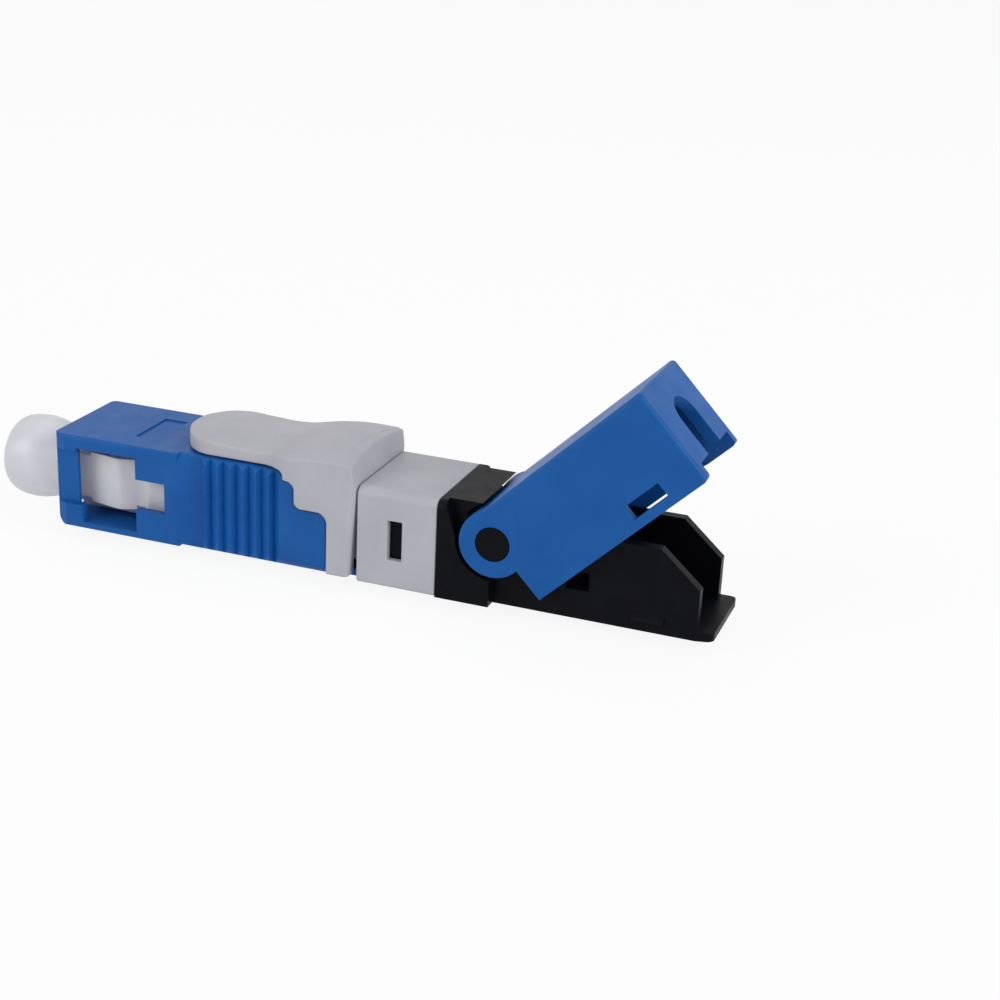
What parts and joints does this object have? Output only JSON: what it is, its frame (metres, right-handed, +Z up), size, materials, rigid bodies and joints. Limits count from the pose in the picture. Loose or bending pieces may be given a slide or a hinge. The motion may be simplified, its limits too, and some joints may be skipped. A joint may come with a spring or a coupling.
{
  "type": "fibre optic connector",
  "caption": "Field-mounted SC fibre plug with a push-pull housing, sliding splice lock, flip-up cable clamp and dust cap.",
  "frame": {"origin": "point on the ferrule axis in the plane of the coupling housing's front face", "axes": "+X back along the plug to the cable end, +Z up to the slider's tongue, +Y to the far side"},
  "size_m": [0.0575, 0.0094, 0.0184],
  "materials": {
    "cap_plastic": "translucent",
    "blue_plastic": "satin",
    "white_plastic": "satin",
    "zirconia": "polished",
    "holder_metal": "turned",
    "spring_steel": "bright",
    "fibre_glass": "clear",
    "splice_plastic": "matte",
    "grey_plastic": "satin",
    "black_plastic": "satin"
  },
  "bodies": {
    "core": {"rear_body": "grey_plastic", "plug_frame": "white_plastic", "cable_cradle": "black_plastic", "ferrule_spring": "spring_steel"},
    "ferrule_unit": {"ferrule": "zirconia", "ferrule_holder": "holder_metal", "fibre_stub": "fibre_glass", "splice_base": "splice_plastic", "splice_cover_front": "splice_plastic", "splice_cover_rear": "splice_plastic", "clamp_clip_front": "spring_steel", "clamp_clip_rear": "spring_steel"},
    "slider": {"slider": "grey_plastic"},
    "housing": {"coupling_housing": "blue_plastic"},
    "cap": {"dust_cap": "cap_plastic"},
    "cover": {"cable_cover": "blue_plastic"}
  },
  "joints": [
    {"name": "cover_hinge", "type": "hinge", "parent": "core", "child": "cover", "pos_m": [0.03548, 0, 0.00115], "axis": [0, -1, 0], "range_deg": [-44.18, 15]},
    {"name": "slider_travel", "type": "slide", "parent": "core", "child": "slider", "axis": [-1, 0, 0], "range_m": [0, 0.0015]},
    {"name": "housing_travel", "type": "slide", "parent": "slider", "child": "housing", "axis": [-1, 0, 0], "range_m": [0, 0.0012]},
    {"name": "ferrule_float", "type": "slide", "parent": "core", "child": "ferrule_unit", "axis": [1, 0, 0], "range_m": [0, 0.0006], "stiffness_N_per_m": 20, "springref_m": -0.0004, "deforming": ["ferrule_spring"]},
    {"name": "cap_pull", "type": "slide", "parent": "core", "child": "cap", "axis": [-1, 0, 0], "range_m": [0, 0.012]}
  ]
}
